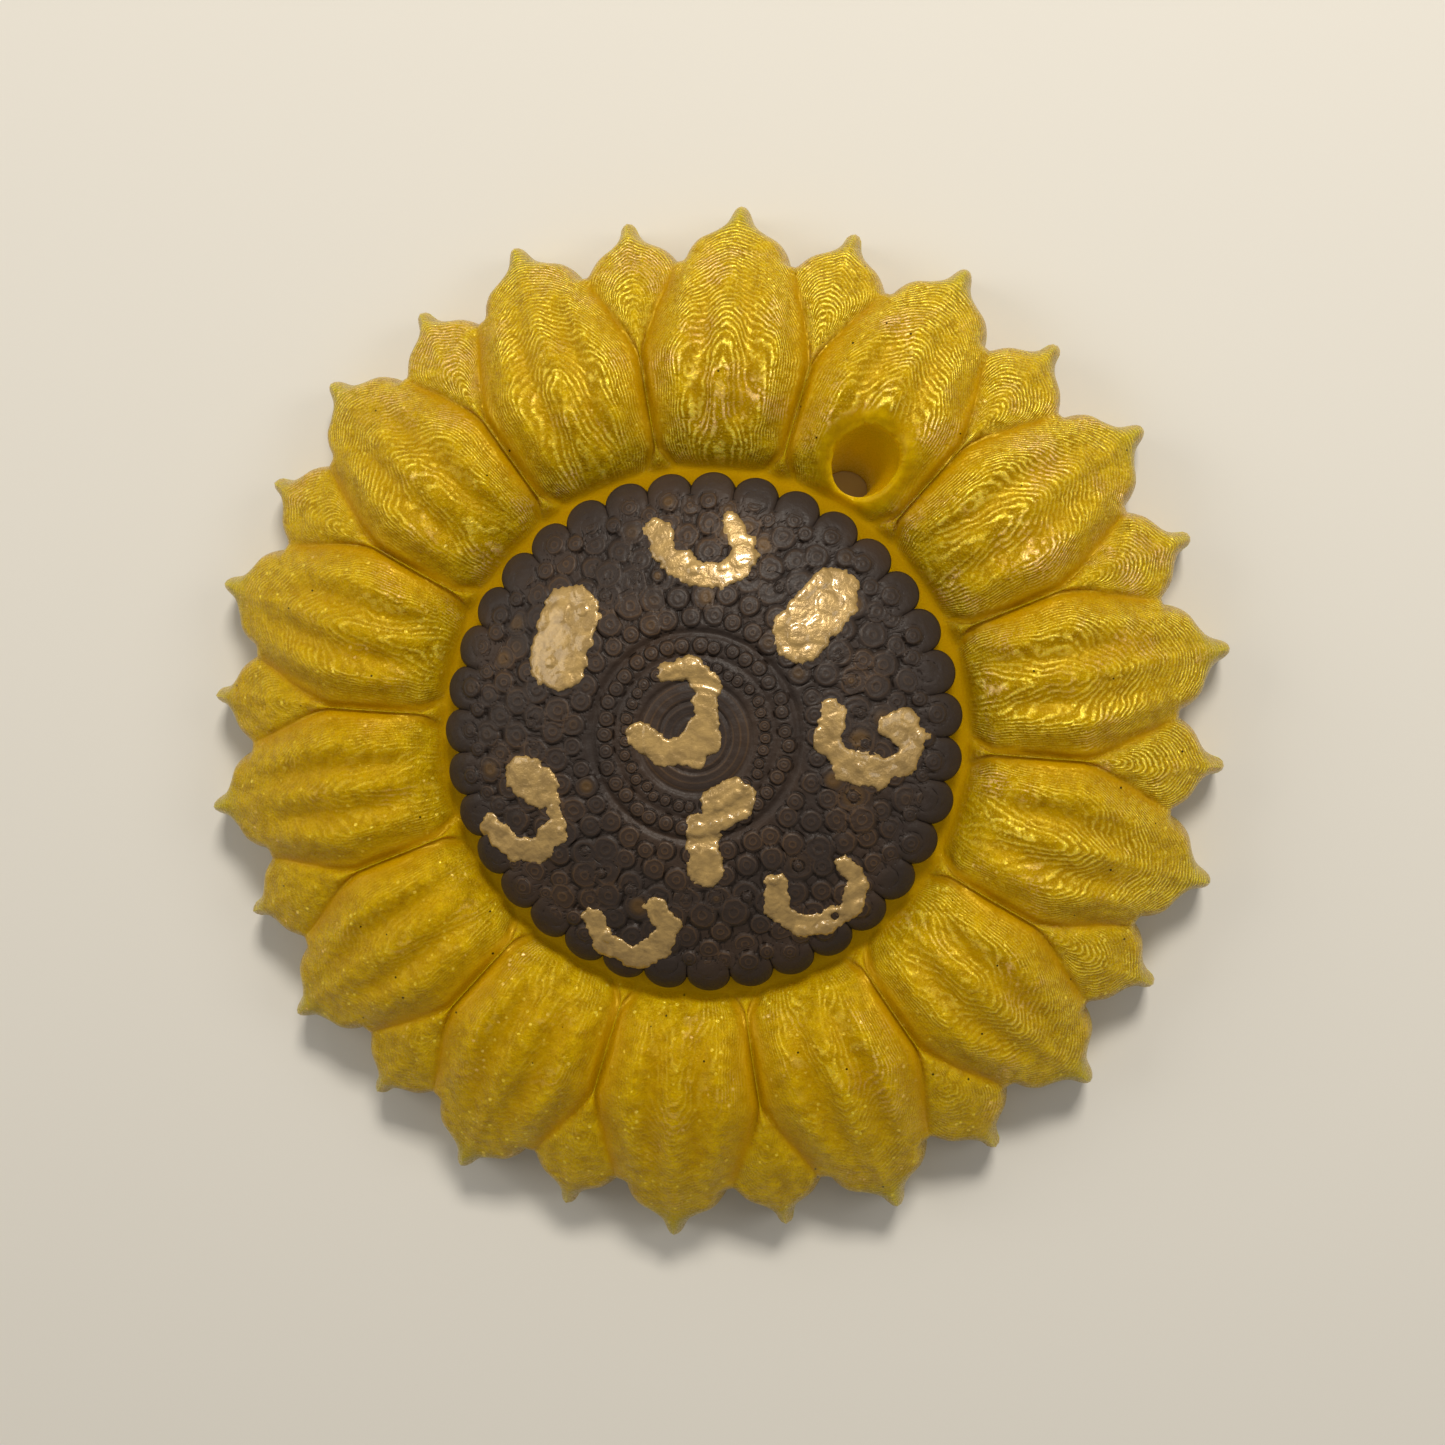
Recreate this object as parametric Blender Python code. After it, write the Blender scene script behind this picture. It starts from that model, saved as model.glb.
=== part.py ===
"""Moulded sunflower ornament, cast in one translucent piece, with a painted seed disc.

The flower lies on its flat back with its face up. Sizes are in millimetres until
vertices are placed, and angles run clockwise from +Y, as seen from the face.
"""

import math

import bmesh
import bpy
import numpy as np
from mathutils import Matrix, Vector

MM = 0.001

# Petal layers: front and back petals take turns round the rim.
PETALS_A_LAYER = 14
FRONT_REACH = 47.5
BACK_REACH = 46.7
TIP_TURN = math.radians(3.8)
PETAL_PITCH = 2 * math.pi / PETALS_A_LAYER
HALF_PITCH = PETAL_PITCH / 2

# Half of a front petal's outline: distance in from its tip, half its width there.
FRONT_EDGE = (
    (0.0, 0.0), (0.35, 0.65), (1.75, 1.35), (2.55, 2.4), (3.2, 3.7), (4.15, 4.45), (5.2, 4.85),
    (8.0, 5.35), (10.0, 5.85), (13.4, 6.55), (16.5, 6.7), (19.6, 6.25), (22.0, 5.0), (24.5, 3.2),
)
# The part of a back petal's outline that shows past the front petals.
BACK_EDGE = ((0.0, 0.0), (0.35, 0.65), (1.5, 1.1), (2.25, 1.9), (3.1, 3.5), (4.4, 4.63))
RIM_STATIONS = 7
WALL_WIDTH = 0.25
LEAST_GROOVE = 0.35

# Heights above the back: along the crown of a front petal and of a back petal.
FRONT_CROWN = (
    (23.4, 9.0), (24.6, 10.6), (26.5, 12.1), (29.5, 12.8), (33.5, 12.3), (37.5, 10.9),
    (41.0, 9.2), (44.5, 7.0), (47.5, 5.0),
)
BACK_CROWN = (
    (23.4, 9.0), (24.6, 10.0), (26.5, 9.9), (30.0, 10.2), (34.0, 9.8), (38.0, 8.9), (41.0, 7.9),
    (44.0, 6.4), (46.7, 4.7),
)
FRONT_SHOULDER = 1.5
SHOULDER_POWER = 2.6
BACK_SHOULDER = 0.6
FLUTE_DEPTH = 0.34
FLUTE_SPACING = 0.64
FLUTES_FROM, FLUTES_TO = 25.5, 42.0
RIM_HEIGHT = 2.8
RIM_ROUNDING = 1.6

# Rings of the casting's mesh: whole rings out to the petal bodies, then shares of the way to the rim.
BODY_RINGS = (23.1, 24.1, 25.2, 27.2, 30.6, 34.5, 38.2, 41.0)
RIM_SHARES = (0.45, 0.8, 0.95, 1.0)
GROOVE_FLOOR = 8.6

# Hanging hole, pushed through one front petal and leaning in towards the middle.
HOLE_PLACE = (14.4, 23.7)
FACE_AT_HOLE = 12.9
HOLE_RADIUS = 3.35
HOLE_LEAN = math.radians(10)
HOLE_NECK_HEIGHT = 10.4
HOLE_SIDES = 24
CUTTER_BELOW, CUTTER_ABOVE = 4.0, 16.0
CUTTER_TOP_RADIUS = 5.25

# Seed disc: rings of round bumps on a low dome. Each ring holds the same number of bumps.
DISC_TURN = math.radians(3.1)
BUMPS_A_RING = 35
BUMP_PITCH = 2 * math.pi / BUMPS_A_RING
DISC_DOME = ((0.0, 16.3), (5.0, 16.4), (9.5, 16.0), (14.0, 14.9), (17.5, 13.4), (20.8, 11.4), (22.75, 10.3))
# Ring radius, bump radius, rise over the dome, and share of a pitch that the ring is turned.
BUMP_RINGS = (
    (20.8, 1.95, 1.4, 0.0), (18.9, 0.95, 0.8, 0.5), (17.6, 0.95, 0.8, 0.0), (16.0, 1.05, 0.8, 0.5),
    (13.65, 1.3, 0.7, 0.0), (12.0, 1.05, 0.8, 0.5), (10.2, 0.9, 0.7, 0.5), (7.75, 0.7, 0.5, 0.0),
    (5.95, 0.6, 0.45, 0.5),
)
# Grooves and steps round the middle: radius, depth.
DISC_GROOVES = ((8.6, 0.55), (6.85, 0.4), (4.65, 0.5))
GROOVE_WIDTH = 0.45
DISC_RINGS = (
    1.9, 3.8, 4.65, 5.3, 5.95, 6.85, 7.75, 8.6, 9.4, 10.2, 11.1, 12.0, 12.8, 13.65, 14.9, 16.0,
    16.8, 17.6, 18.25, 18.9, 19.8,
)
LOBE_SHARES = (0.0, 0.6, 1.0)
COLUMNS_A_BUMP = 4
LOBE_CUSP = 0.3
DISC_EDGE_HEIGHT = 10.6
DISC_GAP = 0.3


def read_curve(stations, at):
    """Height or width at a place, on the line through the stations."""
    places, values = zip(*stations)
    return float(np.interp(at, places, values))


def on_circle(radius, angle, height):
    """A point in metres, from a radius and a clockwise angle."""
    return Vector((radius * math.sin(angle), radius * math.cos(angle), height)) * MM


def fade(value, start, end):
    """0 before start, 1 after end, smooth between."""
    share = min(max((value - start) / (end - start), 0.0), 1.0)
    return share * share * (3 - 2 * share)


def rim_angles(edge, reach):
    """Angle off the petal's axis and radius of each station of its rim."""
    return [(math.asin(half / (reach - inset)), reach - inset) for inset, half in edge]


FRONT_RIM = rim_angles(FRONT_EDGE[:RIM_STATIONS], FRONT_REACH)
BACK_RIM = rim_angles(BACK_EDGE, BACK_REACH)[::-1]
NOTCH_ANGLE = FRONT_RIM[-1][0]
FRONT_COLUMNS = len(FRONT_RIM)
COLUMNS_A_HALF = FRONT_COLUMNS + len(BACK_RIM) - 1
RIM_RADII = [radius for _, radius in FRONT_RIM + BACK_RIM]


def front_spread(radius):
    """Half the angle that a front petal covers at this radius."""
    inset = FRONT_REACH - radius
    if inset <= FRONT_EDGE[RIM_STATIONS - 1][0]:
        return NOTCH_ANGLE
    covered = math.asin(read_curve(FRONT_EDGE, inset) / radius)
    return min(covered, HALF_PITCH - LEAST_GROOVE / radius)


def column_angle(column, radius):
    """Angle off the front petal's axis of one of the half petal's columns."""
    spread = front_spread(radius)
    if column < FRONT_COLUMNS:
        return spread * FRONT_RIM[column][0] / NOTCH_ANGLE
    foot = spread + WALL_WIDTH / radius
    share = BACK_RIM[column - FRONT_COLUMNS][0] / BACK_RIM[0][0]
    return HALF_PITCH - (HALF_PITCH - foot) * share


def petal_height(column, radius):
    """Height of the face at a column and radius, before the rim is rounded."""
    if column < FRONT_COLUMNS:
        across = FRONT_RIM[column][0] / NOTCH_ANGLE
        crown = read_curve(FRONT_CROWN, radius) - FRONT_SHOULDER * across**SHOULDER_POWER
        fluted = fade(radius, FLUTES_FROM, FLUTES_FROM + 2) * (1 - fade(radius, FLUTES_TO - 5, FLUTES_TO))
        height = crown + FLUTE_DEPTH * fluted * math.cos(2 * math.pi * across / FLUTE_SPACING)
    else:
        across = BACK_RIM[column - FRONT_COLUMNS][0] / BACK_RIM[0][0]
        height = read_curve(BACK_CROWN, radius) - BACK_SHOULDER * across**2
    return max(height, GROOVE_FLOOR) if radius < FLUTES_FROM else height


def petal_point(column, ring):
    """Place of a mesh point on the casting's face, off the axis of the nearest front petal."""
    if ring < len(BODY_RINGS):
        radius = BODY_RINGS[ring]
    else:
        share = RIM_SHARES[ring - len(BODY_RINGS)]
        radius = BODY_RINGS[-1] + (RIM_RADII[column] - BODY_RINGS[-1]) * share
    inward = min((RIM_RADII[column] - radius) / RIM_ROUNDING, 1.0)
    rounding = math.sqrt(1 - (1 - inward) ** 2)
    height = RIM_HEIGHT + (petal_height(column, radius) - RIM_HEIGHT) * rounding
    return column_angle(column, radius), radius, GROOVE_FLOOR if ring == 0 else height


def polar_sheet(columns, rings, place):
    """A grid bent round into a closed ring of faces. place(column, ring) gives each point."""
    sheet = bmesh.new()
    bmesh.ops.create_grid(sheet, x_segments=columns, y_segments=rings, size=0.5)
    for vertex in sheet.verts:
        column = round((vertex.co.x + 0.5) * columns)
        ring = round((vertex.co.y + 0.5) * rings)
        vertex.co = place(column % columns, ring)
    bmesh.ops.remove_doubles(sheet, verts=sheet.verts, dist=0.001 * MM)
    return sheet


def close_down(sheet, to_height, from_radius):
    """Drops the outer rim to a flat underside and closes both ends."""
    rims = [edge for edge in sheet.edges if edge.is_boundary]
    outer = [edge for edge in rims if edge.verts[0].co.xy.length > from_radius * MM]
    inner = [edge for edge in rims if edge.verts[0].co.xy.length <= from_radius * MM]
    wall = bmesh.ops.extrude_edge_only(sheet, edges=outer)["geom"]
    for vertex in (item for item in wall if isinstance(item, bmesh.types.BMVert)):
        vertex.co.z = to_height * MM
    base = [item for item in wall if isinstance(item, bmesh.types.BMEdge) and item.is_boundary]
    bmesh.ops.contextual_create(sheet, geom=base)
    if inner:
        bmesh.ops.contextual_create(sheet, geom=inner)
    bmesh.ops.recalc_face_normals(sheet, faces=sheet.faces)


def add_object(name, sheet, finish, sharp_degrees):
    """Links a bmesh to the scene as one smooth-shaded object."""
    mesh = bpy.data.meshes.new(name)
    sheet.to_mesh(mesh)
    sheet.free()
    mesh.shade_smooth()
    mesh.set_sharp_from_angle(angle=math.radians(sharp_degrees))
    if finish:
        mesh.materials.append(finish)
    made = bpy.data.objects.new(name, mesh)
    bpy.context.scene.collection.objects.link(made)
    return made


def make_finish(name, colour, roughness):
    finish = bpy.data.materials.new(name)
    finish.use_nodes = True
    shader = finish.node_tree.nodes["Principled BSDF"]
    shader.inputs["Base Color"].default_value = (*colour, 1.0)
    shader.inputs["Roughness"].default_value = roughness
    shader.inputs["Metallic"].default_value = 0.0
    return finish


def make_casting(finish):
    """Both petal layers, the groove round the disc and the solid back, as one body."""
    columns_a_petal = 2 * COLUMNS_A_HALF

    def place(column, ring):
        petal, step = divmod(column, columns_a_petal)
        past_middle = step > COLUMNS_A_HALF
        nearest = petal + 1 if past_middle else petal
        off_axis, radius, height = petal_point(min(step, columns_a_petal - step), ring)
        angle = TIP_TURN + nearest * PETAL_PITCH + (-off_axis if past_middle else off_axis)
        return on_circle(radius, angle, height)

    rings = len(BODY_RINGS) + len(RIM_SHARES) - 1
    sheet = polar_sheet(PETALS_A_LAYER * columns_a_petal, rings, place)
    close_down(sheet, 0.0, BODY_RINGS[1])
    return add_object("petal_casting", sheet, finish, 40)


def cut_hanging_hole(casting):
    """The leaning round hole for a cord, flared at the face."""
    cutter = bmesh.new()
    bmesh.ops.create_circle(cutter, segments=HOLE_SIDES, radius=HOLE_RADIUS * MM)
    for corner in cutter.verts:
        corner.co.z = -CUTTER_BELOW * MM
    rim = cutter.edges[:]
    for height, radius in ((HOLE_NECK_HEIGHT, HOLE_RADIUS), (CUTTER_ABOVE, CUTTER_TOP_RADIUS)):
        grown = bmesh.ops.extrude_edge_only(cutter, edges=rim)["geom"]
        for corner in (item for item in grown if isinstance(item, bmesh.types.BMVert)):
            corner.co *= radius * MM / corner.co.xy.length
            corner.co.z = height * MM
        rim = [item for item in grown if isinstance(item, bmesh.types.BMEdge) and item.is_boundary]
    bmesh.ops.holes_fill(cutter, edges=cutter.edges, sides=0)
    bmesh.ops.recalc_face_normals(cutter, faces=cutter.faces)
    # The hole leans outwards about its middle at the face, so its lower end is nearer the disc.
    mouth = Vector((*HOLE_PLACE, FACE_AT_HOLE)) * MM
    outward = Vector((*HOLE_PLACE, 0.0)).normalized()
    lean = Matrix.Rotation(HOLE_LEAN, 4, Vector((0.0, 0.0, 1.0)).cross(outward))
    bmesh.ops.translate(cutter, verts=cutter.verts, vec=(0.0, 0.0, -mouth.z))
    bmesh.ops.transform(cutter, verts=cutter.verts, matrix=Matrix.Translation(mouth) @ lean)
    hole = add_object("hanging_hole_cutter", cutter, None, 30)
    hole.hide_render = True
    hole.display_type = "WIRE"
    cut = casting.modifiers.new("Hanging hole", "BOOLEAN")
    cut.operation = "DIFFERENCE"
    cut.object = hole


def bump_offset(angle, turned):
    """Angle to the nearest bump of a ring turned by a share of a pitch. Lobes are at 0."""
    return (angle / BUMP_PITCH - turned + 0.5) % 1.0 * BUMP_PITCH - BUMP_PITCH / 2


def disc_height(radius, angle):
    """Height of the seed disc's face: the dome, its grooves and the tallest bump there."""
    rise = 0.0
    for ring, bump, tall, turned in BUMP_RINGS:
        off_centre = math.hypot(radius - ring, ring * bump_offset(angle, turned)) / bump
        if off_centre < 1:
            rise = max(rise, tall * math.sqrt(1 - off_centre**2))
    for ring, deep in DISC_GROOVES:
        rise -= deep * max(0.0, 1 - abs(radius - ring) / GROOVE_WIDTH)
    return read_curve(DISC_DOME, radius) + rise


def lobed_edge(angle):
    """Radius of the disc's scalloped edge, where its outermost bumps end."""
    ring, bump = BUMP_RINGS[0][:2]
    across = ring * bump_offset(angle, 0.0)
    return ring + math.sqrt(max(bump**2 - across**2, LOBE_CUSP**2))


def make_disc(finish):
    """The domed seed disc, which sits on the groove's floor."""
    columns = BUMPS_A_RING * COLUMNS_A_BUMP

    def place(column, ring):
        angle = column * BUMP_PITCH / COLUMNS_A_BUMP
        turned = DISC_TURN + angle
        if ring < len(DISC_RINGS):
            radius = DISC_RINGS[ring]
            return on_circle(radius, turned, disc_height(radius, angle))
        share = LOBE_SHARES[ring - len(DISC_RINGS)]
        lobe_ring = BUMP_RINGS[0][0]
        radius = lobe_ring + (lobed_edge(angle) - lobe_ring) * share
        height = DISC_EDGE_HEIGHT if share == 1.0 else disc_height(radius, angle)
        return on_circle(radius, turned, max(height, DISC_EDGE_HEIGHT))

    sheet = polar_sheet(columns, len(DISC_RINGS) + len(LOBE_SHARES) - 1, place)
    close_down(sheet, GROOVE_FLOOR + DISC_GAP, DISC_RINGS[1])
    return add_object("seed_disc", sheet, finish, 50)


def main():
    for old in list(bpy.data.objects):
        bpy.data.objects.remove(old)
    casting = make_casting(make_finish("golden translucent casting", (0.62, 0.40, 0.02), 0.32))
    cut_hanging_hole(casting)
    make_disc(make_finish("dark brown paint", (0.045, 0.033, 0.028), 0.5))


main()
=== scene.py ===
import math

import bmesh
import bpy
import numpy as np
from mathutils import Matrix, Vector, noise


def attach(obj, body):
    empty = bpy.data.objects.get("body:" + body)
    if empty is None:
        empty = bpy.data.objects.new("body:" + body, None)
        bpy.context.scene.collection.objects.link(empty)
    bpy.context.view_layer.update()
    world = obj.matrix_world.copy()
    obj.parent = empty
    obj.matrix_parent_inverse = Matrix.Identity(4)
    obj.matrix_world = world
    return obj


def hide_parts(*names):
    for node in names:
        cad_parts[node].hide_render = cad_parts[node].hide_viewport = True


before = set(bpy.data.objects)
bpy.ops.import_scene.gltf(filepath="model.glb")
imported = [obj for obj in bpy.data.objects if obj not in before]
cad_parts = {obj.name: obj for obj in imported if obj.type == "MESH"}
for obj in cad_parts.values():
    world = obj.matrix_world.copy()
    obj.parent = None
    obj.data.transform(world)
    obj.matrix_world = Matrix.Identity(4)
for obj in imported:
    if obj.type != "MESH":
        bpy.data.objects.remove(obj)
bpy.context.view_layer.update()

MM = 0.001

# View and studio.
# The flower lies on its flat back on a pale table, seen from close above, a little from its right
# and from the top. A window lights it from past the upper right petals.

VIEW_DISTANCE = 140 * MM
VIEW_LEAN_RIGHT, VIEW_LEAN_UP = math.radians(4.5), math.radians(2.7)
VIEW_WIDTH = 133.5 * MM
SENSOR = 36.0

aim = Vector((1.3, 0.6, 3.0)) * MM
towards = Vector((math.tan(VIEW_LEAN_RIGHT), math.tan(VIEW_LEAN_UP), 1.0)).normalized()
across = Vector((0.0, 1.0, 0.0)).cross(towards).normalized()
upright = towards.cross(across)
lens = bpy.data.cameras.new("view")
lens.sensor_width = SENSOR
lens.lens = SENSOR * VIEW_DISTANCE / VIEW_WIDTH
lens.clip_start = 0.01
camera = bpy.data.objects.new("view", lens)
camera.matrix_world = Matrix.Translation(aim + towards * VIEW_DISTANCE) @ Matrix(
    (across, upright, towards)).transposed().to_4x4()
bpy.context.scene.collection.objects.link(camera)
bpy.context.scene.camera = camera
bpy.context.scene.view_settings.view_transform = "Standard"


def linear(code):
    """Linear RGBA of an sRGB hex colour."""
    parts = [int(code[i:i + 2], 16) / 255 for i in (1, 3, 5)]
    return (*[p / 12.92 if p <= 0.04045 else ((p + 0.055) / 1.055) ** 2.4 for p in parts], 1.0)


def add(tree, kind, inputs=None, **settings):
    """Adds a shader node, sets it up, and sets or links its inputs by name or number."""
    node = tree.nodes.new("ShaderNode" + kind)
    for name, value in settings.items():
        setattr(node, name, value)
    for name, value in (inputs or {}).items():
        if isinstance(value, bpy.types.NodeSocket):
            tree.links.new(value, node.inputs[name])
        else:
            node.inputs[name].default_value = value
    return node


def new_material(name):
    """An empty material with its Principled BSDF: (material, tree, shader)."""
    made = bpy.data.materials.new(name)
    made.use_nodes = True
    return made, made.node_tree, made.node_tree.nodes["Principled BSDF"]


def area_light(name, place_mm, size_mm, watts, colour):
    """A soft rectangular light that looks at the flower."""
    lamp = bpy.data.lights.new(name, "AREA")
    lamp.shape = "RECTANGLE"
    lamp.size, lamp.size_y = (side * MM for side in size_mm)
    lamp.energy = watts
    lamp.color = linear(colour)[:3]
    holder = bpy.data.objects.new(name, lamp)
    place = Vector(place_mm) * MM
    holder.matrix_world = Matrix.Translation(place) @ place.to_track_quat("Z", "Y").to_matrix().to_4x4()
    bpy.context.scene.collection.objects.link(holder)


area_light("window past the upper right petals", (75, 310, 370), (130, 80), 1.9, "#FFF9EE")
area_light("soft fill from the right", (420, 90, 380), (220, 220), 0.45, "#FFFDF8")
area_light("soft fill from the left", (-450, 140, 310), (300, 300), 0.85, "#FFFBF2")

world = bpy.data.worlds.new("studio")
world.use_nodes = True
world.node_tree.nodes["Background"].inputs["Color"].default_value = linear("#E9E6E0")
world.node_tree.nodes["Background"].inputs["Strength"].default_value = 0.36
bpy.context.scene.world = world

table_top = bmesh.new()
bmesh.ops.create_grid(table_top, x_segments=2, y_segments=2, size=1.5)
table_mesh = bpy.data.meshes.new("table")
table_top.to_mesh(table_mesh)
table_top.free()
table_paint, _, shader = new_material("pale matt table paint")
shader.inputs["Base Color"].default_value = linear("#D2CEC6")
shader.inputs["Roughness"].default_value = 0.8
table_mesh.materials.append(table_paint)
table = bpy.data.objects.new("table", table_mesh)
bpy.context.scene.collection.objects.link(table)

# Petal casting.
# Both petal layers, the groove round the disc and the solid back: one pour of clear golden polymer
# with mica in it. Its mould was taken from a printed master, whose layers show as contour lines.

PETALS_A_LAYER = 14
FRONT_REACH, BACK_REACH = 47.5, 46.7
TIP_TURN = math.radians(3.8)
PETAL_PITCH = 2 * math.pi / PETALS_A_LAYER
HALF_PITCH = PETAL_PITCH / 2
FRONT_EDGE = (
    (0.0, 0.0), (0.35, 0.65), (1.75, 1.35), (2.55, 2.4), (3.2, 3.7), (4.15, 4.45), (5.2, 4.85),
    (8.0, 5.35), (10.0, 5.85), (13.4, 6.55), (16.5, 6.7), (19.6, 6.25), (22.0, 5.0), (24.5, 3.2),
)
BACK_EDGE = ((0.0, 0.0), (0.35, 0.65), (1.5, 1.1), (2.25, 1.9), (3.1, 3.5), (4.4, 4.63))
RIM_STATIONS = 7
WALL_WIDTH, RIM_WALL_WIDTH, LEAST_GROOVE = 0.7, 0.4, 0.75
FRONT_CROWN = (
    (23.4, 9.0), (24.6, 10.1), (26.5, 11.4), (29.5, 12.4), (33.5, 12.2), (37.5, 10.9),
    (41.0, 9.2), (44.5, 7.0), (47.5, 5.0),
)
BACK_CROWN = (
    (23.4, 9.0), (24.6, 9.9), (26.5, 10.8), (30.0, 11.3), (34.0, 11.1), (38.0, 10.1), (41.0, 8.7),
    (44.0, 6.8), (46.7, 4.7),
)
FRONT_SHOULDER, SHOULDER_POWER, BACK_SHOULDER = 0.7, 3.0, 0.45
FLUTE_DEPTH, FLUTE_SPACING = 0.3, 0.64
NIB_RIDGE, NIB_RIDGE_WIDTH = 0.3, 0.7
RIM_HEIGHT, RIM_ROUNDING = 2.8, 1.3
GROOVE_RADIUS, GROOVE_FLOOR = 23.1, 8.6
BODY_RADIUS = 41.0
FRONT_COLUMNS, WALL_COLUMNS, BACK_COLUMNS = 22, 4, 14
BODY_RINGS, RIM_RINGS, WALL_RINGS = 50, 18, 5
LUMP_HEIGHT, LUMP_SPACING = 0.16, 2.8
STREAK_HEIGHT, STREAK_SPACING, STREAK_LENGTH = 0.17, 1.0, 4.5
CRINKLE_HEIGHT, CRINKLE_SPACING = 0.06, 0.8
CREASE_WIDTH = 0.5
CONTOUR_STEEP, CONTOUR_DRAFT, CONTOUR_FALL, BACK_CONTOUR_FALL = 1.4, 0.08, 3.6, 2.0
WINDOW_SIDE_FROM, WINDOW_SIDE_FULL, LEAST_WINDOW_SIDE = -35.0, 42.0, 0.16
HOLE_MOUTH = Vector((14.4, 23.7, 12.9))
HOLE_RADIUS, HOLE_FOOT_RADIUS, HOLE_FOOT_SHIFT = 2.85, 2.1, 0.8
HOLE_LEAN = math.radians(10)
COLLAR_RADIUS, COLLAR_DROP = 4.0, 0.7
BORE_WOBBLE = 0.2


def spline(stations, count, mirrored):
    """Evenly spaced points on a smooth line through the stations. A mirrored one starts square to its axis."""
    points = np.array(stations, float)
    before = points[1] * (1, -1) if mirrored else 2 * points[0] - points[1]
    points = np.vstack([before, points, 2 * points[-1] - points[-2]])
    along = np.linspace(0, len(stations) - 1 - 1e-9, 600)
    first = along.astype(int)
    f = (along - first)[:, None]
    a, b, c, d = (points[first + i] for i in range(4))
    line = 0.5 * (2 * b + (c - a) * f + (2 * a - 5 * b + 4 * c - d) * f**2 + (3 * b - a - 3 * c + d) * f**3)
    run = np.concatenate([[0], np.cumsum(np.hypot(*np.diff(line, axis=0).T))])
    even = np.linspace(0, run[-1], count)
    return np.column_stack([np.interp(even, run, line[:, 0]), np.interp(even, run, line[:, 1])])


def fade(value, start, end):
    """0 before start, 1 after end, smooth between."""
    share = np.clip((value - start) / (end - start), 0, 1)
    return share * share * (3 - 2 * share)


def rim_line(edge, reach, columns):
    """Angle off the petal's axis and radius of evenly spaced points of its rim."""
    line = spline(edge, columns + 1, True)
    radius = reach - line[:, 0]
    return np.arcsin(line[:, 1] / radius), radius


front_angle, front_radius = rim_line(FRONT_EDGE[:RIM_STATIONS], FRONT_REACH, FRONT_COLUMNS)
back_angle, back_radius = (line[::-1] for line in rim_line(BACK_EDGE, BACK_REACH, BACK_COLUMNS))
wall_share = np.arange(1, WALL_COLUMNS) / WALL_COLUMNS
half_columns = FRONT_COLUMNS + WALL_COLUMNS + BACK_COLUMNS
front_share = np.concatenate([front_angle / front_angle[-1], np.ones(WALL_COLUMNS + BACK_COLUMNS)])
back_share = np.concatenate([np.ones(FRONT_COLUMNS + WALL_COLUMNS), back_angle / back_angle[0]])
wall_at = np.concatenate([np.zeros(FRONT_COLUMNS + 1), wall_share, np.ones(BACK_COLUMNS + 1)])
notch_radius = (front_radius[-1] + back_radius[0]) / 2
rim_radius = np.concatenate([front_radius, np.full(WALL_COLUMNS - 1, notch_radius), back_radius])

# One half petal, columns by rings: the rings run from the groove out to the rim and then down the wall.
body = np.linspace(GROOVE_RADIUS, BODY_RADIUS, BODY_RINGS + 1)[:, None] + 0 * rim_radius
outwards = np.sin(np.linspace(0, math.pi / 2, RIM_RINGS + 1))[1:, None]
radius = np.vstack([body, BODY_RADIUS + (rim_radius - BODY_RADIUS) * outwards])
petal_line = spline(FRONT_EDGE, 200, True)
spread = np.arcsin(np.interp(FRONT_REACH - radius, petal_line[:, 0], petal_line[:, 1]) / radius)
spread = np.minimum(spread, HALF_PITCH - LEAST_GROOVE / radius)
spread = np.where(radius > notch_radius, front_angle[-1], spread)
foot = spread + (WALL_WIDTH + (RIM_WALL_WIDTH - WALL_WIDTH) * fade(radius, 36.0, 41.0)) / radius
off_axis = np.where(
    wall_at < 1, spread * front_share + (foot - spread) * wall_at, HALF_PITCH - (HALF_PITCH - foot) * back_share)

crown_line = spline(FRONT_CROWN, 200, False)
crown = np.interp(radius, crown_line[:, 0], crown_line[:, 1])
fluted = fade(radius, 25.0, 28.5) * (1 - fade(radius, 36.0, 42.5))
flutes = fluted * np.cos(2 * math.pi * front_share / FLUTE_SPACING)
front_height = crown - FRONT_SHOULDER * front_share**SHOULDER_POWER + FLUTE_DEPTH * flutes
lateral = radius * np.sin(off_axis)
front_height += NIB_RIDGE * fade(radius, 37.0, 43.5) * np.exp(-(lateral / NIB_RIDGE_WIDTH) ** 2)
back_line = spline(BACK_CROWN, 200, False)
back_height = np.interp(radius, back_line[:, 0], back_line[:, 1]) - BACK_SHOULDER * back_share**2
back_lateral = radius * np.sin(HALF_PITCH - off_axis)
back_height += NIB_RIDGE * fade(radius, 39.0, 43.5) * np.exp(-(back_lateral / NIB_RIDGE_WIDTH) ** 2)
blend = fade(wall_at, 0, 1)
height = front_height * (1 - blend) + back_height * blend
height = np.where(radius < 26.0, np.maximum(height, GROOVE_FLOOR), height)
height = GROOVE_FLOOR + (height - GROOVE_FLOOR) * fade(radius, 23.1, 24.2)

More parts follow.
